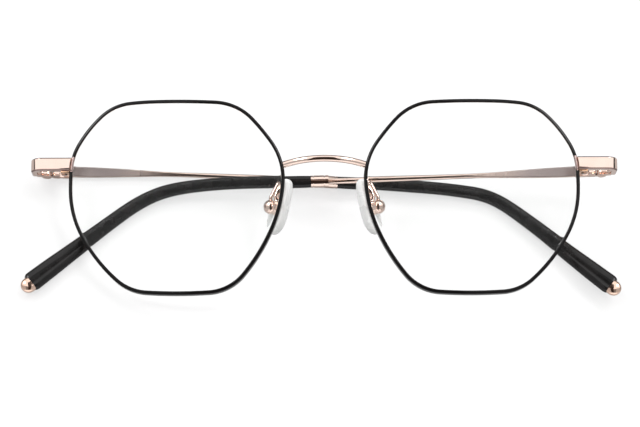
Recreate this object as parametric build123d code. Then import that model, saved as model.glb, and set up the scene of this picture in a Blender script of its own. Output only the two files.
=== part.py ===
from build123d import *
import math
import os

os.makedirs("parts", exist_ok=True)

# Hexagonal wire eyeglasses, folded and lying on their folded temples.
# Everything is first built in the front's own axes (mm):
#   X to the viewer's right, Y behind the front, Z up along the front.
# The right half is built, and the left half is its mirror image.

# ---------------------------------------------------------------- driving sizes
LENS_CX, LENS_CY, LENS_CZ = 33.1, -0.97, 22.3   # centre of the right lens's front
WRAP = 3.0                # each lens is turned back by this many degrees
LENS_R = 130.0            # front curve of rims and lenses
RIM_W = 0.80              # rim width seen from the front
RIM_D = 1.80              # rim depth
LENS_SET = 0.35           # lens front behind the rim's front
LENS_T = 1.30             # lens thickness
GROOVE_SIDE = 0.30        # depth of the lens groove in the rim
BRIDGE_R = 0.76
ROD_END = (9.5, 1.0, 29.95)
ROD_TOP = (0.0, -1.6, 30.9)

SPLIT_Z, SPLIT = 29.25, 0.10      # split of the rim between the closing blocks
END_Z0, END_Z1 = 29.30, 32.25     # endpiece, bottom and top
END_Y0, END_Y1 = 2.35, 3.95       # endpiece bar, front and back
END_X, END_T = 66.3, 1.3          # endpiece arm, outer face and thickness
BLOCK_X, BLOCK_Z = 59.4, 28.75     # closing blocks, outer end and underside

HINGE = (63.05, 8.5, 30.75)       # middle of the hinge screw
TEMPLE_X = 61.2                   # folded temples are measured inwards from here
PANTO = 8.0                       # drop of the open temple, degrees
CANT = 2.05                       # sideways lean of the hinge screw, degrees
KNUCKLE_R, SCREW_R, RUN = 1.05, 0.60, 0.03
KNUCKLE_H, KNUCKLE_GAP = 1.1, 0.05
HINGE_FIT = 0.05                  # half the gap where endpiece and temple butt

SPLAY = 2.5                       # outward splay of the open temple, degrees
SWING_R, SWING_L = 92.92, 90.02   # fold of each temple from open to rest, degrees
BLADE_T = 1.0                     # thickness of the blade
WIRE_R, CORE_R = 0.685, 0.55
COLLAR_R = 1.42

PAD_T = 1.9
PAD_B = (12.15, 5.1, 21.2)        # middle of the pad's pivot screw
PAD_SPREAD, PAD_LEAN = 30.0, 14.0
ARM_R = 0.42

# middle line of the rim in the lens's own axes: a closed chain of arcs that run
# into each other, from the lower nose corner, turning down, as length and radius
OUTLINE_START, OUTLINE_WAY = (-14.83377, -17.52883), -50.20323
OUTLINE = [
    (8.745, 10.75), (14.039, 97.35), (7.370, 11.27), (13.357, 37.68),
    (10.020, 23.19), (6.219, 48.08), (5.308, 12.37), (8.198, 28.69),
    (7.362, 10.62), (4.939, 66.75), (14.413, 248.31), (9.435, 12.08),
    (6.958, 52.27), (10.178, 15.23), (10.428, 31.78), (12.685, 41.73),
]

# folded temples: distance inwards from the hinge, depth behind the front, height
TIP_LINE_R = [
    (64.24, 10.28, 28.39), (69.0, 10.24, 28.28), (74.0, 10.2, 28.18), (81.3, 10.14, 28.0),
    (86.8, 10.09, 27.63), (90.4, 10.06, 27.27), (94.1, 10.03, 26.72), (97.5, 9.97, 25.9),
    (99.6, 9.78, 25.1), (101.7, 9.40, 24.0), (104.24, 8.89, 22.4), (106.63, 8.38, 20.61),
    (111.24, 7.27, 16.82), (115.78, 5.99, 12.97), (120.27, 4.56, 9.11), (124.68, 2.99, 5.25),
    (126.8, 2.17, 3.35),
]
TIP_LINE_L = [
    (64.24, 13.53, 28.98), (69.0, 13.75, 28.80), (74.0, 13.96, 28.58), (79.0, 14.19, 28.25),
    (84.5, 14.44, 27.87), (88.2, 14.61, 27.55), (91.9, 14.77, 27.12), (95.6, 14.90, 26.55),
    (97.9, 14.92, 26.0), (100.2, 14.75, 25.02), (102.76, 14.36, 23.43), (106.35, 13.74, 20.67),
    (109.82, 13.05, 17.79), (113.2, 12.29, 14.83), (116.56, 11.46, 11.83), (119.91, 10.55, 8.89),
    (123.26, 9.56, 5.95), (125.9, 8.73, 3.66),
]
# height and thickness of the tip against the distance from its start to its end (0 to 1)
TIP_SIZE = [(0.0, 2.62, 2.45), (0.02, 2.72, 2.5), (0.12, 2.8, 2.55), (0.35, 2.82, 2.6),
            (0.52, 2.97, 2.6), (0.62, 3.1, 2.6), (0.72, 3.3, 2.6), (0.82, 3.75, 2.65),
            (0.92, 4.25, 2.7), (0.985, 4.45, 2.7), (0.994, 4.32, 2.62), (1.0, 3.85, 2.45)]

# pose on the table: lean back, then the small roll, then down to z = 0
LEAN = 75.69
ROLL = -3.394
SHIFT = (0.187, -22.717, 7.199)

# ---------------------------------------------------------------- helpers


def outline_arcs(d):
    """start, middle and end of each arc of the outline moved outwards by d"""
    x, y = OUTLINE_START
    a = math.radians(OUTLINE_WAY)
    arcs = []
    for length, radius in OUTLINE:
        cx, cy = x - radius * math.sin(a), y + radius * math.cos(a)
        row = []
        for k in (0.0, 0.5, 1.0):
            b = a + k * length / radius
            row.append((cx + (radius + d) * math.sin(b), cy - (radius + d) * math.cos(b)))
        arcs.append(row)
        a += length / radius
        x, y = cx + radius * math.sin(a), cy - radius * math.cos(a)
    for this, following in zip(arcs, arcs[1:] + arcs[:1]):
        this[2] = following[0]
    return arcs


def lens_plane(back):
    c, s = math.cos(math.radians(WRAP)), math.sin(math.radians(WRAP))
    return Plane(origin=(LENS_CX - s * back, LENS_CY + c * back, LENS_CZ),
                 x_dir=(c, s, 0), z_dir=(s, -c, 0))


def prism(d):
    """solid as wide as the outline moved out by d, all through the rim's depth"""
    pl = lens_plane(12.0)
    wire = Wire([ThreePointArc(*[pl.from_local_coords((u, v, 0)) for u, v in row])
                 for row in outline_arcs(d)])
    return extrude(Face(wire), amount=24, dir=pl.z_dir)


def ball(set_back):
    """ball whose surface lies set_back behind the rim's front"""
    c, s = math.cos(math.radians(WRAP)), math.sin(math.radians(WRAP))
    return Pos(LENS_CX - s * LENS_R, LENS_CY + c * LENS_R, LENS_CZ) * Sphere(LENS_R - set_back)


def shell(front, back):
    return ball(front) - ball(back)


def box(x0, x1, y0, y1, z0, z1):
    return Pos((x0 + x1) / 2, (y0 + y1) / 2, (z0 + z1) / 2) * Box(x1 - x0, y1 - y0, z1 - z0)


def rod(r, z0, z1, x=0.0, y=0.0):
    return Pos(x, y, (z0 + z1) / 2) * Cylinder(r, z1 - z0)


def flip(shape):
    return mirror(shape, about=Plane.YZ)


def lerp(table, t):
    """values of a table of rows at t"""
    if t <= table[0][0]:
        return table[0][1:]
    for a, b in zip(table, table[1:]):
        if t <= b[0]:
            k = (t - a[0]) / (b[0] - a[0])
            return tuple(p + (q - p) * k for p, q in zip(a[1:], b[1:]))
    return table[-1][1:]


def section(origin, tangent, height, thick, power, n=24, drop=0.0, push=0.0):
    """closed rounded section square to the tangent: height up, thickness front to back"""
    t = Vector(*tangent).normalized()
    d = Vector(0, 1, 0)
    d = (d - t * d.dot(t)).normalized()
    h = d.cross(t).normalized()
    if h.Z < 0:
        h = h * -1
    o = Vector(*origin) + h * drop + d * push
    pts = []
    for i in range(n):
        a = 2 * math.pi * i / n + math.pi / 4
        c, s = math.cos(a), math.sin(a)
        k = (abs(c) ** power + abs(s) ** power) ** (-1.0 / power)
        pts.append(o + h * (c * k * height / 2) + d * (s * k * thick / 2))
    return Wire([Spline(*pts, periodic=True)])


def bar_section(origin, tangent, height, thick, radius):
    """rounded bar section square to the tangent: height up, thickness front to back"""
    t = Vector(*tangent).normalized()
    d = Vector(0, 1, 0)
    d = (d - t * d.dot(t)).normalized()
    h = d.cross(t).normalized()
    if h.Z < 0:
        h = h * -1
    return Plane(origin=origin, x_dir=h, z_dir=t) * RectangleRounded(height, thick, radius)


def open_box(limit, side):
    """half space in the hinge's open axes, on one side of the butt plane"""
    if side > 0:
        return box(-9, 9, limit, 60, -9, 9)
    return box(-9, 9, -60, limit, -9, 9)


# hinge axes with the temple open straight back: x outwards, y back, z along the screw
_cp, _sp = math.cos(math.radians(PANTO)), math.sin(math.radians(PANTO))
_cc, _sc = math.cos(math.radians(CANT)), math.sin(math.radians(CANT))
AXIS = (-_sc, _sp * _cc, _cp * _cc)
OUT = (_cc, _sp * _sc, _cp * _sc)
FRONT_HINGE = Plane(origin=HINGE, x_dir=OUT, z_dir=AXIS).location

# ---------------------------------------------------------------- front
P_OUT, P_IN = prism(RIM_W / 2), prism(-RIM_W / 2)
rim_blank = (P_OUT - P_IN) & shell(0, RIM_D)
groove = prism(-RIM_W / 2 + GROOVE_SIDE) & shell(0.70, 1.30)
rim = rim_blank - groove
rim = rim - box(50, 62, -2, 12, SPLIT_Z - SPLIT / 2, SPLIT_Z + SPLIT / 2)

lens = (prism(-0.42) & shell(LENS_SET, LENS_SET + LENS_T)) \
    + (prism(-0.15) & shell(0.75, 1.25))

P_OUT_L = flip(P_OUT)
arc = ThreePointArc((-ROD_END[0],) + ROD_END[1:], ROD_TOP, ROD_END)
bridge = sweep(Plane(origin=arc @ 0, z_dir=arc % 0) * Circle(BRIDGE_R), path=arc)
bridge = bridge - P_OUT - P_OUT_L

# endpiece: a bar off the rim, a rounded outer corner and an arm back to the hinge
R_OUT, R_IN = 2.6, 1.2
end_line = [
    Line((56.0, END_Y0), (END_X - R_OUT, END_Y0)),
    RadiusArc((END_X - R_OUT, END_Y0), (END_X, END_Y0 + R_OUT), -R_OUT),
    Line((END_X, END_Y0 + R_OUT), (END_X, 9.0)),
    Line((END_X, 9.0), (END_X - END_T, 9.0)),
    Line((END_X - END_T, 9.0), (END_X - END_T, END_Y1 + R_IN)),
    RadiusArc((END_X - END_T, END_Y1 + R_IN), (END_X - END_T - R_IN, END_Y1), R_IN),
    Line((END_X - END_T - R_IN, END_Y1), (56.0, END_Y1)),
    Line((56.0, END_Y1), (56.0, END_Y0)),
]
end_face = Face(Wire(end_line))
endpiece = Pos(0, 0, END_Z0) * extrude(end_face, amount=END_Z1 - END_Z0, dir=(0, 0, 1))
outer_edges = [
    e for e in endpiece.edges()
    if (abs(e.center().Z - END_Z0) < 1e-3 or abs(e.center().Z - END_Z1) < 1e-3)
    and (abs(e.center().Y - END_Y0) < 1e-3 or abs(e.center().X - END_X) < 1e-3
         or (e.center().X > END_X - R_OUT and e.center().Y < END_Y0 + R_OUT
             and e.geom_type == GeomType.CIRCLE and e.radius > 2))
]
endpiece = chamfer(outer_edges, 0.27)
endpiece = endpiece - P_OUT
endpiece = endpiece - (FRONT_HINGE * open_box(-HINGE_FIT, +1))

closing_block_upper = box(55, BLOCK_X, END_Y1, 5.6, END_Z0, 32.1) - P_OUT
closing_block_lower = box(55, BLOCK_X, 2.6, 5.4, BLOCK_Z, SPLIT_Z - SPLIT / 2) - P_OUT
SX, SY = 58.6, 4.55
closing_screw = rod(0.42, BLOCK_Z, 31.4, SX, SY) + rod(0.6, BLOCK_Z - 0.15, BLOCK_Z, SX, SY)
closing_screw = closing_screw - box(SX - 1, SX + 1, SY - 0.09, SY + 0.09, 28.0, BLOCK_Z - 0.07)
closing_block_upper = closing_block_upper - rod(0.42, 29.0, 31.4, SX, SY)
closing_block_lower = closing_block_lower - rod(0.42, 27.0, 29.5, SX, SY)

# hinge half on the endpiece, in the hinge's open axes
ARM_IN = END_X - END_T - HINGE[0]     # from the screw to the arm's inner face
fh = box(0.95, ARM_IN + 0.2, -2.4, -1.2, -1.5, 1.5)
for z0 in (-KNUCKLE_H / 2 - KNUCKLE_GAP - KNUCKLE_H, KNUCKLE_H / 2 + KNUCKLE_GAP):
    fh = fh + rod(KNUCKLE_R, z0, z0 + KNUCKLE_H) \
        + box(0, ARM_IN + 0.2, -KNUCKLE_R, -HINGE_FIT, z0, z0 + KNUCKLE_H) \
        + box(0.95, ARM_IN + 0.2, -1.3, -1.0, z0, z0 + KNUCKLE_H)
fh = fh - rod(SCREW_R, -3, 3)
front_hinge = (FRONT_HINGE * fh) - endpiece
Z_K = KNUCKLE_H * 1.5 + KNUCKLE_GAP
hs = rod(SCREW_R, -Z_K, Z_K) + rod(0.95, Z_K, Z_K + 0.4) - box(-1, 1, -0.12, 0.12, Z_K + 0.22, Z_K + 0.6)
hinge_screw = FRONT_HINGE * hs

# ---------------------------------------------------------------- nose pads
_cs, _ss = math.cos(math.radians(PAD_SPREAD)), math.sin(math.radians(PAD_SPREAD))
_cl, _sl = math.cos(math.radians(PAD_LEAN)), math.sin(math.radians(PAD_LEAN))
PAD_N = (-_cl * _cs, _ss, -_sl * _cs)          # from the box towards the nose
PAD_UP = (-_sl, 0, _cl)                        # along the pad
# pad axes: x along the pad, z towards the nose, y across
PAD_PLANE = Plane(origin=PAD_B, x_dir=PAD_UP, z_dir=PAD_N)
PADS = PAD_PLANE.location

pad_box = Sphere(1.62) - box(-3, 3, -3, 3, 0.9, 3) - box(-1.2, 1.2, -0.78, 0.78, -1.0, 3)
pad_box = pad_box - Rot(90, 0, 0) * rod(0.33, -3, 3)
pad_screw = rod(0.33, -1.55, 1.55) + rod(0.55, 1.55, 1.85) - box(-1, 1, -0.09, 0.09, 1.7, 2.0)
pad_screw = PADS * (Rot(90, 0, 0) * pad_screw)

# the pad is an egg-shaped cushion, wider at its foot
pad_rows = [(6.6, 0.0), (6.3, 1.25), (5.2, 2.25), (3.0, 3.0), (0.0, 3.4), (-2.6, 3.5),
            (-4.8, 3.0), (-6.1, 1.75), (-6.6, 0.0)]
pad_pts = pad_rows + [(x, -y) for x, y in pad_rows[-2:0:-1]]
pad_blank = extrude(Face(Wire([Spline(*[(x + 0.9, y, 0) for x, y in pad_pts], periodic=True)])),
                    amount=PAD_T, dir=(0, 0, 1))
pad_blank = Pos(0, 0, 1.35) * pad_blank
pad_blank = fillet(pad_blank.edges().filter_by(GeomType.BSPLINE), 0.8)
core_plate = box(-1.4, 3.2, -1.0, 1.0, 1.95, 2.35)
core_plate = fillet(core_plate.edges().filter_by(Axis.Z), 0.6)
lug = box(-0.75, 0.75, -0.65, 0.65, -0.5, 1.95)
lug = fillet(lug.edges().filter_by(Axis.Y).group_by(Axis.Z)[0], 0.4)
lug = lug - Rot(90, 0, 0) * rod(0.33 + RUN, -3, 3)
pad_core_l = core_plate + lug
nose_pad = PADS * (pad_blank - pad_core_l)
pad_core = PADS * pad_core_l

# hairpin wire from the rim to the box
arm_pts = [(10.02, 1.6, 21.4), (10.8, 3.15, 21.75), (11.05, 3.2, 23.1), (9.7, 3.3, 27.0),
           (10.35, 4.75, 26.75), (12.1, 4.85, 23.3), (12.15, 5.0, 22.0)]
arm_line = FilletPolyline(*arm_pts, radius=0.55)
pad_arm = sweep(Plane(origin=arm_line @ 0, z_dir=arm_line % 0) * Circle(ARM_R), path=arm_line)
pad_box = PADS * pad_box
pad_arm = pad_arm - (PADS * (Sphere(1.62))) - (prism(RIM_W / 2) & shell(-1, RIM_D))
pad_arm = pad_arm.solids().sort_by(SortBy.VOLUME)[-1]

# ---------------------------------------------------------------- temples


def temple(swing, depth, height, line):
    """one folded temple in the right half's axes: blade, hinge half, collar, tip, cap"""
    turn = swing - SPLAY
    c, s = math.cos(math.radians(turn)), math.sin(math.radians(turn))
    back = Vector(*AXIS).cross(Vector(*OUT))
    x_dir = Vector(*OUT) * c + back * s
    own = Plane(origin=HINGE, x_dir=x_dir, z_dir=AXIS).location
    c, s = math.cos(math.radians(swing)), math.sin(math.radians(swing))
    butt = Plane(origin=HINGE, x_dir=Vector(*OUT) * c + back * s, z_dir=AXIS).location

    def at(e):
        return (TEMPLE_X - e, depth(e), height(e))

    def way(e):
        a, b = Vector(*at(e - 0.2)), Vector(*at(e + 0.2))
        return (b - a).normalized()

    # blade, from a flat bar to a narrow neck and on to a round wire
    rows = [(-2.6, 2.34, BLADE_T, 0.2), (0.4, 2.35, BLADE_T, 0.2), (3.4, 2.37, BLADE_T, 0.2),
            (6.4, 2.34, BLADE_T, 0.2), (9.6, 2.22, BLADE_T, 0.2), (13.0, 2.0, BLADE_T, 0.2),
            (16.4, 1.73, BLADE_T, 0.21), (19.8, 1.44, BLADE_T, 0.23), (23.2, 1.17, BLADE_T, 0.26),
            (27.0, 1.03, BLADE_T, 0.3), (32.0, 1.05, 1.05, 0.4), (38.0, 1.16, 1.16, 0.52),
            (48.0, 1.36, 1.36, 0.655), (56.0, 1.37, 1.37, 0.665), (64.24, 1.37, 1.37, 0.665)]
    blade = loft([bar_section(at(e), way(e), h, t, r) for e, h, t, r in rows])
    blade = blade - (butt * open_box(HINGE_FIT, -1))

    pts = [(TEMPLE_X - e, y, z) for e, y, z in line]
    path = Spline(*pts, tangents=[way(64.24), Vector(*pts[-1]) - Vector(*pts[-2])])
    # wire core inside the tip
    core_path = path.trim(0, 0.86)
    core = sweep(Plane(origin=core_path @ 0, z_dir=core_path % 0) * Circle(CORE_R), path=core_path)

    # tip
    stations = [0.0, 0.02, 0.07, 0.13, 0.2, 0.28, 0.35, 0.42, 0.47, 0.52, 0.56, 0.6, 0.64,
                0.69, 0.75, 0.82, 0.88, 0.93, 0.97, 0.985, 0.994, 1.0]
    faces = []
    for t in stations:
        hh, tt = lerp(TIP_SIZE, t)
        faces.append(Face(section(path @ t, path % t, hh, tt, 2.5)))
    tip = loft(faces) - core
    # shallow flute down the face, from a point to the cap
    cuts = []
    for t, r, deep in [(0.735, 0.35, -0.03), (0.78, 0.7, 0.05), (0.85, 1.1, 0.16),
                       (0.92, 1.45, 0.27), (1.02, 1.8, 0.4)]:
        tt = lerp(TIP_SIZE, min(t, 1.0))[1]
        if t <= 1.0:
            o, w = path @ t, path % t
        else:
            o, w = (path @ 1) + (path % 1) * 1.2, path % 1
        tt = max(tt, 2.6)
        cuts.append(Face(section(o, w, 2 * r, 2 * r, 2.0, drop=-0.35,
                                 push=-(tt / 2 + r - deep))))
    tip = tip - loft(cuts)
    tip = tip.solids().sort_by(SortBy.VOLUME)[-1]

    # domed cap
    end = Plane(origin=path @ 1, z_dir=path % 1)
    dome = []
    for k in (0.0, 0.35, 0.8, 1.25, 1.65, 1.98, 2.2, 2.34, 2.4):
        f = 1.0 if k < 0.7 else math.sqrt(max(1 - ((k - 0.62) / 1.8) ** 2, 0.0004))
        dome.append(Face(section((path @ 1) + (path % 1) * k, path % 1, 3.5 * f, 2.36 * f, 2.2,
                                 drop=-0.15)))
    cap = loft(dome)

    collar_path = Line(at(60.24), at(64.24))
    outer = sweep(Plane(origin=collar_path @ 0, z_dir=collar_path % 0) * Circle(COLLAR_R),
                  path=collar_path)
    grooves = []
    for k0, k1 in ((0.80, 1.05), (3.35, 3.55)):
        g0 = Vector(*at(60.24)) + way(62.0) * k0
        pl = Plane(origin=g0, z_dir=way(62.0))
        ring = extrude(pl * (Circle(2.2) - Circle(COLLAR_R - 0.16)), amount=k1 - k0)
        grooves.append(ring)
    collar = outer
    for g in grooves:
        collar = collar - g
    collar = collar - sweep(Plane(origin=collar_path @ 0, z_dir=collar_path % 0)
                            * Circle(WIRE_R + 0.03), path=collar_path)

    # hinge half on the blade
    th = rod(KNUCKLE_R, -KNUCKLE_H / 2, KNUCKLE_H / 2) \
        + box(-0.75, 1.25, 0.0, 1.6, -KNUCKLE_H / 2, KNUCKLE_H / 2) \
        + box(-0.2, 2.6, 1.4, 2.9, -1.15, 1.15) \
        + box(1.15, 2.6, 2.7, 5.4, -1.05, 1.05)
    t = way(1.0)
    d = Vector(0, 1, 0)
    d = (d - t * d.dot(t)).normalized()
    flat = Plane(origin=Vector(*at(1.0)) - d * (BLADE_T / 2), z_dir=d).location
    th = own * th - (flat * box(-12, 12, -12, 12, 0, 12))
    th = th - (own * rod(SCREW_R + RUN, -3, 3))
    th = th.solids().sort_by(SortBy.VOLUME)[-1]
    return {"temple": blade, "temple_hinge": th, "collar": collar, "tip_core": core,
            "tip": tip, "end_cap": cap}


right = temple(SWING_R, lambda e: 10.75 - 0.00735 * e,
               lambda e: 30.72 - 0.046 * e + 0.00015 * e * e, TIP_LINE_R)
left = temple(SWING_L, lambda e: 10.75 + 0.0433 * e,
              lambda e: 30.85 - 0.006 * e - 0.00036 * e * e, TIP_LINE_L)

# ---------------------------------------------------------------- all pieces
pieces = {"bridge": bridge}
for name, shape in (("rim", rim), ("lens", lens), ("endpiece", endpiece),
                    ("closing_block_upper", closing_block_upper),
                    ("closing_block_lower", closing_block_lower),
                    ("closing_screw", closing_screw), ("front_hinge", front_hinge),
                    ("hinge_screw", hinge_screw), ("pad_arm", pad_arm), ("pad_box", pad_box),
                    ("pad_screw", pad_screw), ("nose_pad", nose_pad), ("pad_core", pad_core)):
    pieces[name + "_right"] = shape
    pieces[name + "_left"] = flip(shape)
for name in right:
    pieces[name + "_right"] = right[name]
    pieces[name + "_left"] = flip(left[name])

place = Pos(*SHIFT) * Rot(0, ROLL, 0) * Rot(-LEAN, 0, 0)
for name, shape in pieces.items():
    solids = (place * shape).solids()
    body = solids[0] if len(solids) == 1 else Compound(children=list(solids))
    body.label = name
    export_step(body, "parts/" + name + ".step")
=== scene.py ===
import math

import bpy
import numpy as np
from mathutils import Matrix, Vector


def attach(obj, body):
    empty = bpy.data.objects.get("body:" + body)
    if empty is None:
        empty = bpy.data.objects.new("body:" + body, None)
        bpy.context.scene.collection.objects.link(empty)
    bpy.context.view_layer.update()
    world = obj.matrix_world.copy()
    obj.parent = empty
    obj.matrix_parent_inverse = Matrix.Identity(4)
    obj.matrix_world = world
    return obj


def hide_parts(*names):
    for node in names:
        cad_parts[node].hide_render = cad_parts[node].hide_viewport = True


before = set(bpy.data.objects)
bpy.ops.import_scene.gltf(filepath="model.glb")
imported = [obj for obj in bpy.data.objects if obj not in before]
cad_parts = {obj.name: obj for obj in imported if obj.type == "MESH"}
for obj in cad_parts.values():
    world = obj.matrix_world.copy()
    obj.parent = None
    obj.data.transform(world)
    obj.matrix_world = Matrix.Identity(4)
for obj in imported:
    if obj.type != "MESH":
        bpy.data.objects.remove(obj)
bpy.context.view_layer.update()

# ---------------------------------------------------------------- the front's own axes
# X to the right, Y behind the front, Z up along it (mm); the same placing as the CAD
LEAN, ROLL, SHIFT = 75.69, -3.394, (0.187, -22.717, 7.199)


def _turn():
    a, b = math.radians(-LEAN), math.radians(ROLL)
    rx = np.array([[1, 0, 0], [0, math.cos(a), -math.sin(a)], [0, math.sin(a), math.cos(a)]])
    ry = np.array([[math.cos(b), 0, math.sin(b)], [0, 1, 0], [-math.sin(b), 0, math.cos(b)]])
    return ry @ rx


TURN = _turn()


def to_row(p):
    """points in the front's axes, mm, to the row frame in metres"""
    return (np.asarray(p, float) @ TURN.T + np.array(SHIFT)) * 0.001


def way(v):
    v = TURN @ np.asarray(v, float)
    return v / np.linalg.norm(v)


# ---------------------------------------------------------------- node helpers
def new_material(name):
    m = bpy.data.materials.new(name)
    m.use_nodes = True
    m.node_tree.nodes.clear()
    out = m.node_tree.nodes.new("ShaderNodeOutputMaterial")
    p = m.node_tree.nodes.new("ShaderNodeBsdfPrincipled")
    m.node_tree.links.new(p.outputs[0], out.inputs[0])
    return m, p, out


def noise(m, scale, detail=3.0, rough=0.5, stretch=None):
    nt = m.node_tree
    tc = nt.nodes.new("ShaderNodeTexCoord")
    n = nt.nodes.new("ShaderNodeTexNoise")
    n.inputs["Scale"].default_value = scale
    n.inputs["Detail"].default_value = detail
    n.inputs["Roughness"].default_value = rough
    if stretch:
        mp = nt.nodes.new("ShaderNodeMapping")
        mp.inputs["Scale"].default_value = stretch
        nt.links.new(tc.outputs["Object"], mp.inputs["Vector"])
        nt.links.new(mp.outputs[0], n.inputs["Vector"])
    else:
        nt.links.new(tc.outputs["Object"], n.inputs["Vector"])
    return n


def ramp(m, src, stops):
    r = m.node_tree.nodes.new("ShaderNodeValToRGB")
    m.node_tree.links.new(src, r.inputs[0])
    els = r.color_ramp.elements
    while len(els) < len(stops):
        els.new(0.5)
    for e, (pos, c) in zip(els, stops):
        e.position = pos
        e.color = (*c, 1) if len(c) == 3 else c
    return r


def bump(m, p, src, strength, dist):
    b = m.node_tree.nodes.new("ShaderNodeBump")
    b.inputs["Strength"].default_value = strength
    b.inputs["Distance"].default_value = dist
    m.node_tree.links.new(src, b.inputs["Height"])
    m.node_tree.links.new(b.outputs[0], p.inputs["Normal"])
    return b


def grey(v):
    return (v, v, v)


def metal(name, base, dark, rough, spread, scale=900.0, stretch=None, bumps=0.04):
    """plated metal: a faint drift of colour, roughness in patches, very fine polishing marks"""
    m, p, _ = new_material(name)
    p.inputs["Metallic"].default_value = 1.0
    n1 = noise(m, 260.0, 2.0)
    c = ramp(m, n1.outputs[0], [(0.35, dark), (0.65, base)])
    m.node_tree.links.new(c.outputs[0], p.inputs["Base Color"])
    n2 = noise(m, scale, 4.0, 0.6, stretch)
    r = ramp(m, n2.outputs[0], [(0.3, grey(max(rough - spread, 0.02))), (0.7, grey(rough + spread))])
    m.node_tree.links.new(r.outputs[0], p.inputs["Roughness"])
    bump(m, p, n2.outputs[0], bumps, 0.00004)
    return m


GOLD = metal("rose_gold_polished", (0.93, 0.735, 0.645), (0.90, 0.70, 0.61), 0.08, 0.03)
GOLD_CAP = metal("rose_gold_cap", (0.95, 0.69, 0.56), (0.91, 0.64, 0.51), 0.11, 0.03)
# bare rose gold where the rim's lacquer is off, much darker than the polished gold: the bare patch is real, the
# darker tone is painted shade
GOLD_BARE_PAINTED_SHADE = metal("rose_gold_bare_rim", (0.52, 0.40, 0.38), (0.36, 0.27, 0.26), 0.11, 0.05)
# a dark copy of the rose gold for the endpiece's chamfers: painted dark reflection
GOLD_PAINTED_DARK_REFLECTION = metal("rose_gold_edge", (0.30, 0.215, 0.195), (0.26, 0.18, 0.165), 0.14, 0.03)
# a darker, more orange copy of the gold for the lower closing block: painted shade
GOLD_BLOCK_PAINTED_SHADE = metal("rose_gold_block", (0.88, 0.58, 0.40), (0.80, 0.50, 0.33), 0.20, 0.05)

# temples: satin on the flat of the blade, polished at its edges and along the wire; the satin flat also gets a
# gold about a third as bright, painted shade
TEMPLE, p, _ = new_material("rose_gold_temple")
tt_ = TEMPLE.node_tree
p.inputs["Metallic"].default_value = 1.0
t_co = tt_.nodes.new("ShaderNodeTexCoord")
t_sep = tt_.nodes.new("ShaderNodeSeparateXYZ")
tt_.links.new(t_co.outputs["Object"], t_sep.inputs[0])
t_abs = tt_.nodes.new("ShaderNodeMath")
t_abs.operation = "ABSOLUTE"
tt_.links.new(t_sep.outputs["X"], t_abs.inputs[0])
t_len = tt_.nodes.new("ShaderNodeMapRange")
t_len.interpolation_type = "SMOOTHSTEP"
t_len.inputs["From Min"].default_value = 0.030
t_len.inputs["From Max"].default_value = 0.049
tt_.links.new(t_abs.outputs[0], t_len.inputs["Value"])
t_dot = tt_.nodes.new("ShaderNodeVectorMath")
t_dot.operation = "DOT_PRODUCT"
tt_.links.new(t_co.outputs["Normal"], t_dot.inputs[0])
t_dot.inputs[1].default_value = tuple(float(q) for q in way((0, 1, 0)))
t_ab2 = tt_.nodes.new("ShaderNodeMath")
t_ab2.operation = "ABSOLUTE"
tt_.links.new(t_dot.outputs["Value"], t_ab2.inputs[0])
t_flat = tt_.nodes.new("ShaderNodeMapRange")
t_flat.inputs["From Min"].default_value = 0.45
t_flat.inputs["From Max"].default_value = 0.90
tt_.links.new(t_ab2.outputs[0], t_flat.inputs["Value"])
t_satin_and_shade_mask = tt_.nodes.new("ShaderNodeMath")
t_satin_and_shade_mask.operation = "MULTIPLY"
tt_.links.new(t_len.outputs[0], t_satin_and_shade_mask.inputs[0])
tt_.links.new(t_flat.outputs[0], t_satin_and_shade_mask.inputs[1])
n = noise(TEMPLE, 2600.0, 4.0, 0.6, (1.0, 8.0, 8.0))
# the satin flat's darker gold: painted shade
c = ramp(TEMPLE, n.outputs[0], [(0.3, (0.315, 0.262, 0.252)), (0.7, (0.345, 0.288, 0.278))])
t_mix = tt_.nodes.new("ShaderNodeMix")
t_mix.data_type = "RGBA"
tt_.links.new(t_satin_and_shade_mask.outputs[0], t_mix.inputs[0])
t_mix.inputs[6].default_value = (0.93, 0.735, 0.645, 1)
tt_.links.new(c.outputs[0], t_mix.inputs[7])
tt_.links.new(t_mix.outputs[2], p.inputs["Base Color"])
t_r = tt_.nodes.new("ShaderNodeMapRange")
t_r.inputs["To Min"].default_value = 0.10
t_r.inputs["To Max"].default_value = 0.36
tt_.links.new(t_satin_and_shade_mask.outputs[0], t_r.inputs["Value"])
tt_.links.new(t_r.outputs[0], p.inputs["Roughness"])
bump(TEMPLE, p, n.outputs[0], 0.05, 0.00004)

LACQUER, p, _ = new_material("black_lacquer")
n = noise(LACQUER, 700.0, 3.0)
c = ramp(LACQUER, n.outputs[0], [(0.3, (0.003, 0.003, 0.003)), (0.7, (0.006, 0.005, 0.005))])
LACQUER.node_tree.links.new(c.outputs[0], p.inputs["Base Color"])
r = ramp(LACQUER, n.outputs[0], [(0.3, grey(0.05)), (0.7, grey(0.09))])
LACQUER.node_tree.links.new(r.outputs[0], p.inputs["Roughness"])
p.inputs["Specular IOR Level"].default_value = 0.21
bump(LACQUER, p, n.outputs[0], 0.05, 0.00005)

PLASTIC, p, _ = new_material("black_gloss_plastic")
n = noise(PLASTIC, 420.0, 3.0)
c = ramp(PLASTIC, n.outputs[0], [(0.3, (0.006, 0.006, 0.006)), (0.7, (0.011, 0.010, 0.010))])
PLASTIC.node_tree.links.new(c.outputs[0], p.inputs["Base Color"])
r = ramp(PLASTIC, n.outputs[0], [(0.3, grey(0.14)), (0.7, grey(0.22))])
PLASTIC.node_tree.links.new(r.outputs[0], p.inputs["Roughness"])
p.inputs["Specular IOR Level"].default_value = 0.30
bump(PLASTIC, p, n.outputs[0], 0.06, 0.00006)

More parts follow.
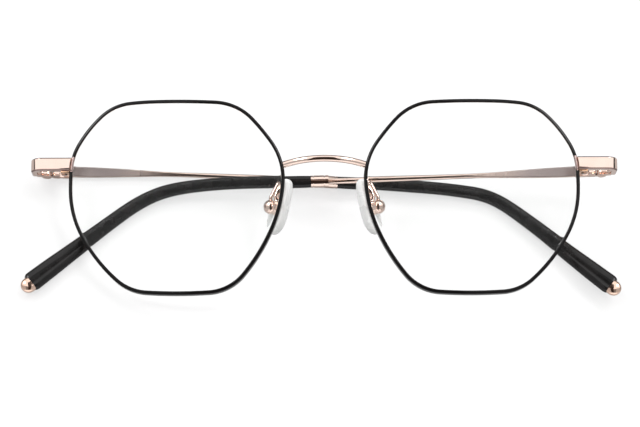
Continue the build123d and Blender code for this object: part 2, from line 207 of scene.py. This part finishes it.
GLASS = bpy.data.materials.new("clear_lens")
GLASS.use_nodes = True
gt = GLASS.node_tree
gt.nodes.clear()
g_out = gt.nodes.new("ShaderNodeOutputMaterial")
g_in = gt.nodes.new("ShaderNodeBsdfRefraction")
g_in.inputs["IOR"].default_value = 1.50
g_in.inputs["Roughness"].default_value = 0.0
n = noise(GLASS, 60.0, 1.0)
c = ramp(GLASS, n.outputs[0], [(0.3, (0.988, 0.992, 0.990)), (0.7, (0.996, 0.998, 0.997))])
gt.links.new(c.outputs[0], g_in.inputs["Color"])
g_on = gt.nodes.new("ShaderNodeBsdfGlossy")
g_on.inputs["Roughness"].default_value = 0.30
g_on.inputs["Color"].default_value = (0.97, 1.0, 0.99, 1)
g_f = gt.nodes.new("ShaderNodeLayerWeight")
g_f.inputs["Blend"].default_value = 0.18
g_r = ramp(GLASS, g_f.outputs["Fresnel"], [(0.0, grey(0.003)), (0.12, grey(0.010)), (0.7, grey(0.16))])
g_m = gt.nodes.new("ShaderNodeMixShader")
gt.links.new(g_r.outputs[0], g_m.inputs[0])
gt.links.new(g_in.outputs[0], g_m.inputs[1])
gt.links.new(g_on.outputs[0], g_m.inputs[2])
gt.links.new(g_m.outputs[0], g_out.inputs[0])

SILICONE, p, _ = new_material("clear_soft_pad")
n = noise(SILICONE, 300.0, 3.0)
c = ramp(SILICONE, n.outputs[0], [(0.3, (0.60, 0.605, 0.60)), (0.7, (0.63, 0.635, 0.63))])
SILICONE.node_tree.links.new(c.outputs[0], p.inputs["Base Color"])
r = ramp(SILICONE, n.outputs[0], [(0.3, grey(0.22)), (0.7, grey(0.32))])
SILICONE.node_tree.links.new(r.outputs[0], p.inputs["Roughness"])
p.inputs["IOR"].default_value = 1.40
p.inputs["Transmission Weight"].default_value = 0.10
p.inputs["Subsurface Weight"].default_value = 0.5
p.inputs["Subsurface Radius"].default_value = (0.002, 0.002, 0.002)
p.inputs["Subsurface Scale"].default_value = 0.6
bump(SILICONE, p, n.outputs[0], 0.04, 0.00005)

CORE, p, _ = new_material("clear_pad_core")
n = noise(CORE, 500.0, 2.0)
c = ramp(CORE, n.outputs[0], [(0.3, (0.90, 0.90, 0.89)), (0.7, (0.95, 0.95, 0.94))])
CORE.node_tree.links.new(c.outputs[0], p.inputs["Base Color"])
p.inputs["Roughness"].default_value = 0.12
p.inputs["IOR"].default_value = 1.46
p.inputs["Transmission Weight"].default_value = 0.2


# ---------------------------------------------------------------- mesh helpers
def mesh_object(name, verts, faces, mats, index=None, smooth=True, body="front"):
    """a closed mesh with its faces turned outwards"""
    va = np.asarray(verts, float)
    vol = 0.0
    for f in faces:
        for a, b in zip(f[1:-1], f[2:]):
            vol += float(np.dot(va[f[0]], np.cross(va[a], va[b])))
    if vol < 0:
        faces = [tuple(f)[::-1] for f in faces]
    me = bpy.data.meshes.new(name)
    me.from_pydata([tuple(map(float, v)) for v in verts], [], [tuple(map(int, f)) for f in faces])
    for m in mats:
        me.materials.append(m)
    if index is not None:
        me.polygons.foreach_set("material_index", np.asarray(index, np.int32))
    me.polygons.foreach_set("use_smooth", np.full(len(me.polygons), smooth))
    me.validate()
    me.update()
    o = bpy.data.objects.new(name, me)
    bpy.context.scene.collection.objects.link(o)
    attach(o, body)
    return o


# rim outline: the same chain of arcs as the CAD's
START, START_WAY = (-14.83377, -17.52883), -50.20323
ARCS = [
    (8.745, 10.75), (14.039, 97.35), (7.370, 11.27), (13.357, 37.68),
    (10.020, 23.19), (6.219, 48.08), (5.308, 12.37), (8.198, 28.69),
    (7.362, 10.62), (4.939, 66.75), (14.413, 248.31), (9.435, 12.08),
    (6.958, 52.27), (10.178, 15.23), (10.428, 31.78), (12.685, 41.73),
]
STEP = 0.38


def outline():
    """points on the rim's middle line and the outward normal at each"""
    x, y = START
    a = math.radians(START_WAY)
    pts, nrm = [], []
    for length, radius in ARCS:
        cx, cy = x - radius * math.sin(a), y + radius * math.cos(a)
        k = max(4, round(length / STEP))
        for i in range(k):
            b = a + i / k * length / radius
            nrm.append((math.sin(b), -math.cos(b)))
            pts.append((cx + radius * nrm[-1][0], cy + radius * nrm[-1][1]))
        a += length / radius
        x, y = cx + radius * math.sin(a), cy - radius * math.cos(a)
    return np.array(pts), np.array(nrm)


PTS, NRM = outline()
R_LENS = 130.0
WRAP = math.radians(3.0)


def lens_points(uv, back, side):
    """points of the lens's own axes (u, v), back behind the front ball, to the row frame"""
    uv = np.asarray(uv, float)
    w = R_LENS - np.sqrt((R_LENS - np.asarray(back)) ** 2 - uv[:, 0] ** 2 - uv[:, 1] ** 2)
    o = np.array([33.1, -0.97, 22.3])
    u_ = np.array([math.cos(WRAP), math.sin(WRAP), 0])
    w_ = np.array([-math.sin(WRAP), math.cos(WRAP), 0])
    p = o + uv[:, :1] * u_ + uv[:, 1:] * np.array([0, 0, 1.0]) + w[:, None] * w_
    p[:, 0] *= side
    return to_row(p)


def rim_profile():
    """(offset outwards, depth behind the front) round the rim's section, and its finish.
    0 lacquer, 1 rose gold"""
    prof = []
    hw = 0.40
    # crowned front, from the inner edge to the outer edge
    for k in np.linspace(-1, 1, 15):
        d = hw * math.sin(k * math.pi / 2)
        prof.append((d, 0.16 * abs(d / hw) ** 2.8))
    prof += [(hw, 0.30), (hw, 0.55), (hw, 0.90), (hw, 1.25), (hw, 1.62),
             (hw - 0.04, 1.73), (hw - 0.12, 1.79)]
    prof += [(0.2, 1.8), (-0.1, 1.8), (-hw + 0.12, 1.79), (-hw + 0.04, 1.73), (-hw, 1.66), (-hw, 1.34),
             (-hw + 0.03, 1.31), (-0.13, 1.27), (-0.10, 1.0), (-0.13, 0.73), (-hw + 0.03, 0.69),
             (-hw, 0.66), (-hw, 0.55), (-hw, 0.30)]
    return np.array(prof)


def make_rim(side, name):
    prof = rim_profile()
    n, k = len(PTS), len(prof)
    # open the ring at the split on the temple side
    z = PTS[:, 1] + 22.3
    outer = PTS[:, 0] > 15
    above = [i for i in range(n) if outer[i] and z[i] < 29.2 and z[(i + 1) % n] >= 29.2]
    s = above[0]

    def at_height(zz):
        i = s
        while PTS[(i + 1) % n, 1] + 22.3 < zz:
            i = (i + 1) % n
        j = (i + 1) % n
        t = (zz - 22.3 - PTS[i, 1]) / (PTS[j, 1] - PTS[i, 1])
        return i, PTS[i] * (1 - t) + PTS[j] * t, NRM[i] * (1 - t) + NRM[j] * t

    i0, p0, n0 = at_height(29.20)
    i1, p1, n1 = at_height(29.30)
    line = [p1]
    nrm = [n1]
    for k_ in range(n if i0 == i1 else (i0 - i1) % n):
        i = (i1 + 1 + k_) % n
        line.append(PTS[i])
        nrm.append(NRM[i])
    line.append(p0)
    nrm.append(n0)
    line, nrm = np.array(line), np.array(nrm)
    m = len(line)
    uv = line[:, None, :] + nrm[:, None, :] * prof[None, :, :1]
    back = np.broadcast_to(prof[None, :, 1], (m, k))
    verts = lens_points(uv.reshape(-1, 2), back.reshape(-1), side)
    faces, index = [], []
    for a in range(m - 1):
        zz = 22.3 + (line[a, 1] + line[a + 1, 1]) / 2
        # the bare patch on the temple side, drawn in the darker gold: painted shade
        bare = line[a, 0] > 15 and 29.0 < zz < 32.45
        for b in range(k):
            c = (b + 1) % k
            q = (a * k + b, a * k + c, (a + 1) * k + c, (a + 1) * k + b)
            faces.append(q)
            mid = (prof[b] + prof[c]) / 2
            gold = mid[1] > 1.68 or (mid[0] < -0.09 and mid[1] > 0.32)
            index.append(1 if gold else 2 if bare else 0)
    first = tuple(range(k))
    last = tuple(range((m - 1) * k, m * k))
    faces += [first[::-1], last]
    index += [1, 1]
    o = mesh_object("rim_wire_" + name, verts, faces, [LACQUER, GOLD, GOLD_BARE_PAINTED_SHADE], index)
    o.data.polygons[len(faces) - 1].use_smooth = False
    o.data.polygons[len(faces) - 2].use_smooth = False
    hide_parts("rim_" + name)
    return o


def make_lens(side, name):
    """meniscus with a bevelled edge and the ridge that sits in the groove"""
    rings = []
    base = PTS + NRM * -0.42
    for t in np.linspace(0.04, 0.97, 26):
        rings.append((base * t, 0.35))
    rings.append((PTS + NRM * -0.51, 0.35))
    rings.append((PTS + NRM * -0.44, 0.39))
    rings.append((PTS + NRM * -0.42, 0.46))
    rings.append((PTS + NRM * -0.42, 0.74))
    rings.append((PTS + NRM * -0.17, 0.80))
    rings.append((PTS + NRM * -0.15, 1.00))
    rings.append((PTS + NRM * -0.17, 1.20))
    rings.append((PTS + NRM * -0.42, 1.26))
    rings.append((PTS + NRM * -0.42, 1.54))
    rings.append((PTS + NRM * -0.44, 1.61))
    rings.append((PTS + NRM * -0.51, 1.65))
    for t in np.linspace(0.97, 0.04, 26):
        rings.append((base * t, 1.65))
    n = len(PTS)
    verts = [lens_points(np.zeros((1, 2)), 0.35, side)]
    for uv, s in rings:
        verts.append(lens_points(uv, s, side))
    verts.append(lens_points(np.zeros((1, 2)), 1.65, side))
    verts = np.vstack(verts)
    faces = []
    for i in range(n):
        faces.append((0, 1 + (i + 1) % n, 1 + i))
    for r in range(len(rings) - 1):
        a, b = 1 + r * n, 1 + (r + 1) * n
        for i in range(n):
            j = (i + 1) % n
            faces.append((a + i, a + j, b + j, b + i))
    a = 1 + (len(rings) - 1) * n
    e = len(verts) - 1
    for i in range(n):
        faces.append((a + i, a + (i + 1) % n, e))
    o = mesh_object("lens_glass_" + name, verts, faces, [GLASS])
    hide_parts("lens_" + name)
    o.visible_shadow = False
    o.visible_diffuse = False
    return o


for side, name in ((1, "right"), (-1, "left")):
    make_rim(side, name)
    make_lens(side, name)

# ---------------------------------------------------------------- carried-over CAD nodes
FINISH = {
    "bridge": GOLD, "endpiece": GOLD, "closing_block_upper": GOLD, "closing_block_lower": GOLD_BLOCK_PAINTED_SHADE,
    "closing_screw": GOLD, "front_hinge": GOLD, "temple_hinge": GOLD, "hinge_screw": GOLD,
    "pad_arm": GOLD, "pad_box": GOLD, "pad_screw": GOLD, "nose_pad": SILICONE, "pad_core": CORE,
    "temple": TEMPLE, "collar": GOLD, "tip_core": GOLD, "tip": PLASTIC, "end_cap": GOLD_CAP,
}
BEVEL = {"endpiece": 0.04, "closing_block_upper": 0.12, "closing_block_lower": 0.12,
         "front_hinge": 0.08, "temple_hinge": 0.08}
for node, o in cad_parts.items():
    kind = node.replace("_left", "").replace("_right", "")
    if kind in ("rim", "lens"):
        continue
    o.data.materials.clear()
    o.data.materials.append(FINISH[kind])
    o.data.polygons.foreach_set("use_smooth", np.ones(len(o.data.polygons), bool))
    if kind == "endpiece":
        # the narrow chamfers round its front get a dark gold: a painted dark reflection
        o.data.materials.append(GOLD_PAINTED_DARK_REFLECTION)
        for q in o.data.polygons:
            nz = float(np.dot(np.array(q.normal), way((0, 0, 1))))
            if 0.5 < abs(nz) < 0.86:
                q.material_index = 1
    if kind in BEVEL:
        w = o.modifiers.new("weld", "WELD")
        w.merge_threshold = 2e-6
        b = o.modifiers.new("bevel", "BEVEL")
        b.width = BEVEL[kind] * 0.001
        b.segments = 3
        b.limit_method = "ANGLE"
        b.angle_limit = math.radians(28)
        w = o.modifiers.new("normals", "WEIGHTED_NORMAL")
        w.mode = "FACE_AREA"
        w.weight = 80
    if kind in ("nose_pad", "pad_core"):
        o.visible_shadow = False
        o.visible_diffuse = False

# ---------------------------------------------------------------- camera
THETA, DIST, TILT = math.radians(13.0), 580.0, math.radians(0.16)
AIM = np.array([-1.00, 0.0, 18.57])
back_ = np.array([0, -math.cos(THETA), -math.sin(THETA)])
up_ = np.array([0, -math.sin(THETA), math.cos(THETA)])
right_ = np.array([1.0, 0, 0])
eye = to_row(AIM + DIST * back_)
r_ = TURN @ (right_ * math.cos(TILT) - up_ * math.sin(TILT))
u_ = TURN @ (right_ * math.sin(TILT) + up_ * math.cos(TILT))
b_ = TURN @ back_
cam_data = bpy.data.cameras.new("camera")
cam_data.sensor_width = 36.0
cam_data.lens = 36.0 * 2596.7 / 640
cam_data.clip_start, cam_data.clip_end = 0.01, 20
cam = bpy.data.objects.new("camera", cam_data)
bpy.context.scene.collection.objects.link(cam)
cam.matrix_world = Matrix([
    [r_[0], u_[0], b_[0], eye[0]],
    [r_[1], u_[1], b_[1], eye[1]],
    [r_[2], u_[2], b_[2], eye[2]],
    [0, 0, 0, 1],
])
bpy.context.scene.camera = cam

# ---------------------------------------------------------------- stage and light
ROOM, SIDE, BRIGHT, DARK, HOT = 0.20, 0.50, 1.20, 0.05, 13.0
bpy.context.scene.view_settings.view_transform = "Standard"
bpy.context.scene.view_settings.look = "None"

world = bpy.data.worlds.new("studio")
bpy.context.scene.world = world
world.use_nodes = True
wt = world.node_tree
wt.nodes.clear()
w_out = wt.nodes.new("ShaderNodeOutputWorld")
bg_seen = wt.nodes.new("ShaderNodeBackground")
bg_seen.inputs["Strength"].default_value = 1.06
bg_wash = wt.nodes.new("ShaderNodeBackground")
bg_wash.inputs["Strength"].default_value = 0.85
bg_room = wt.nodes.new("ShaderNodeBackground")
for b in (bg_seen, bg_wash, bg_room):
    b.inputs["Color"].default_value = (1, 1, 1, 1)
tc = wt.nodes.new("ShaderNodeTexCoord")


def along(v):
    d = wt.nodes.new("ShaderNodeVectorMath")
    d.operation = "DOT_PRODUCT"
    wt.links.new(tc.outputs["Generated"], d.inputs[0])
    d.inputs[1].default_value = tuple(float(q) for q in v)
    return d.outputs["Value"]


def op(kind, a, b=0.0, c=None):
    m = wt.nodes.new("ShaderNodeMath")
    m.operation = kind
    for i, v in enumerate((a, b) if c is None else (a, b, c)):
        if isinstance(v, (int, float)):
            m.inputs[i].default_value = v
        else:
            wt.links.new(v, m.inputs[i])
    return m.outputs[0]


def soft(v, lo_, hi_):
    """0 below lo_, 1 above hi_ (or the other way round), smooth between"""
    m = wt.nodes.new("ShaderNodeMapRange")
    m.interpolation_type = "SMOOTHSTEP"
    m.inputs["From Min"].default_value, m.inputs["From Max"].default_value = min(lo_, hi_), max(lo_, hi_)
    if lo_ > hi_:
        m.inputs["To Min"].default_value, m.inputs["To Max"].default_value = 1.0, 0.0
    wt.links.new(v, m.inputs["Value"])
    return m.outputs[0]


F, H, S = along(b_), along(u_), op("ABSOLUTE", along(TURN @ right_))
front_half = soft(F, -0.20, 0.05)
# the room: even grey, softboxes above, at the sides and low in front, dark above and behind
upper = op("MULTIPLY", soft(H, 0.16, 0.30), front_half)
sides = op("MULTIPLY", soft(S, 0.25, 0.40), front_half)
low = op("MULTIPLY", soft(H, -0.55, -0.72), soft(F, -0.20, 0.0))
dark = op("MULTIPLY", soft(F, -0.12, -0.30), soft(H, 0.15, 0.40))
room = op("MULTIPLY_ADD", sides, SIDE - ROOM, ROOM)
bright = op("MAXIMUM", upper, low)
room = op("MAXIMUM", room, op("MULTIPLY", bright, BRIGHT))
edge = op("MULTIPLY", soft(S, 0.88, 0.96), op("MULTIPLY", soft(F, -0.30, -0.15), soft(F, 0.22, 0.08)))
dark = op("MAXIMUM", dark, edge)
room = op("MULTIPLY", room, op("MULTIPLY_ADD", dark, DARK - 1.0, 1.0))
# a narrow bright strip at each side, the line of light along the rims
hot = op("MULTIPLY", op("MULTIPLY", soft(S, 0.37, 0.43), soft(S, 0.62, 0.56)),
         op("MULTIPLY", soft(H, 0.55, 0.61), soft(H, 0.85, 0.74)))
room = op("MULTIPLY_ADD", op("MULTIPLY", hot, soft(F, 0.2, 0.4)), HOT, room)
wt.links.new(room, bg_room.inputs["Strength"])
lp = wt.nodes.new("ShaderNodeLightPath")
bounced = op("MAXIMUM", lp.outputs["Glossy Depth"], lp.outputs["Diffuse Depth"])
straight = op("LESS_THAN", bounced, 0.5)
direct = op("MAXIMUM", lp.outputs["Is Camera Ray"], op("MULTIPLY", lp.outputs["Is Transmission Ray"], straight))
mix1 = wt.nodes.new("ShaderNodeMixShader")
wt.links.new(op("GREATER_THAN", lp.outputs["Diffuse Depth"], 0.5), mix1.inputs[0])
wt.links.new(bg_room.outputs[0], mix1.inputs[1])
wt.links.new(bg_wash.outputs[0], mix1.inputs[2])
mix = wt.nodes.new("ShaderNodeMixShader")
wt.links.new(direct, mix.inputs[0])
wt.links.new(mix1.outputs[0], mix.inputs[1])
wt.links.new(bg_seen.outputs[0], mix.inputs[2])
wt.links.new(mix.outputs[0], w_out.inputs[0])

me = bpy.data.meshes.new("floor")
me.from_pydata([(-2, -2, 0), (2, -2, 0), (2, 2, 0), (-2, 2, 0)], [], [(0, 1, 2, 3)])
floor = bpy.data.objects.new("floor", me)
bpy.context.scene.collection.objects.link(floor)
fm = bpy.data.materials.new("pale_floor")
fm.use_nodes = True
ft = fm.node_tree
ft.nodes.clear()
fo = ft.nodes.new("ShaderNodeOutputMaterial")
fd = ft.nodes.new("ShaderNodeBsdfDiffuse")
fd.inputs["Color"].default_value = (0.60, 0.60, 0.60, 1)
ftr = ft.nodes.new("ShaderNodeBsdfTransparent")
fmix = ft.nodes.new("ShaderNodeMixShader")
fmix.inputs[0].default_value = 0.40
ft.links.new(ftr.outputs[0], fmix.inputs[1])
ft.links.new(fd.outputs[0], fmix.inputs[2])
ft.links.new(fmix.outputs[0], fo.inputs[0])
me.materials.append(fm)


def area(name, pos, aim, size, power, color=(1, 1, 1)):
    d = bpy.data.lights.new(name, "AREA")
    d.shape = "RECTANGLE"
    d.size, d.size_y = size
    d.energy = power
    d.color = color
    o = bpy.data.objects.new(name, d)
    bpy.context.scene.collection.objects.link(o)
    o.location = pos
    o.rotation_mode = "QUATERNION"
    o.rotation_quaternion = (Vector(aim) - Vector(pos)).to_track_quat("-Z", "Y")
    o.visible_camera = False
    o.visible_glossy = False
    o.visible_transmission = False
    return o


area("softbox_back_left", (-0.16, 0.72, 0.42), (0, 0, 0), (0.36, 0.16), 2.3)
area("softbox_back_right", (0.18, 0.62, 0.52), (0, 0, 0), (0.36, 0.16), 1.9)
area("softbox_left", (-0.62, -0.10, 0.55), (0, 0, 0), (0.4, 0.7), 1.2)
area("softbox_right", (0.62, -0.10, 0.55), (0, 0, 0), (0.4, 0.7), 1.2)

# a dark card between the lights on the viewer's side, seen only in reflections
card_c = to_row(np.array([0, 0, 30]) + 150 * back_)
me = bpy.data.meshes.new("dark_card")
x = TURN @ right_
quad = [card_c + x * sx * 0.050 + u_ * sy for sx, sy in ((-1, -0.16), (1, -0.16), (1, 0.16), (-1, 0.16))]
me.from_pydata([tuple(q) for q in quad], [], [(0, 1, 2, 3)])
card = bpy.data.objects.new("dark_card", me)
bpy.context.scene.collection.objects.link(card)
cm = bpy.data.materials.new("dark_card")
cm.use_nodes = True
cm.node_tree.nodes.clear()
co = cm.node_tree.nodes.new("ShaderNodeOutputMaterial")
ce = cm.node_tree.nodes.new("ShaderNodeEmission")
ce.inputs["Color"].default_value = (0.030, 0.020, 0.016, 1)
cm.node_tree.links.new(ce.outputs[0], co.inputs[0])
me.materials.append(cm)
card.visible_camera = False
card.visible_shadow = False
card.visible_diffuse = False
